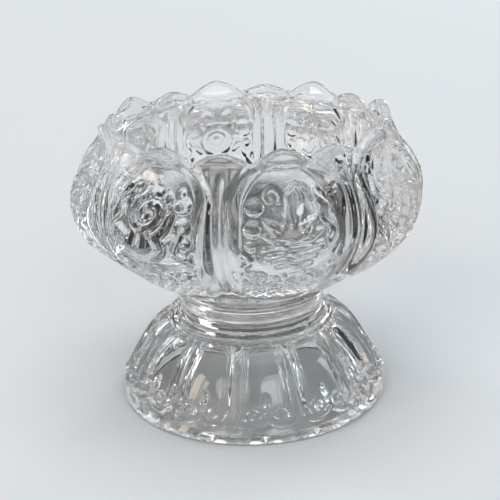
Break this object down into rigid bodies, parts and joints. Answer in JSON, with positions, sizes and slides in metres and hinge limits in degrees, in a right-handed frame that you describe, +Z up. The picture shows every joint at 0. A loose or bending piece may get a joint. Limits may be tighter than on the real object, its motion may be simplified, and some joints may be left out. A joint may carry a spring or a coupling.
{
  "type": "butter lamp",
  "caption": "Clear glass butter lamp: a lotus bowl with two rings of moulded petals and a scalloped rim, bonded at a short neck to a flared lotus foot.",
  "frame": {"origin": "centre of the foot's standing ring, on the table", "axes": "+Z up along the lamp's axis, an outer petal facing -Y"},
  "size_m": [0.105, 0.105, 0.0863],
  "materials": {
    "bowl_glass": "fire-polished clear pressed glass",
    "adhesive": "clear cured film",
    "foot_glass": "fire-polished clear pressed glass"
  },
  "bodies": {
    "root": {"lotus_bowl": "bowl_glass", "bond_film": "adhesive", "lotus_foot": "foot_glass"}
  },
  "joints": []
}
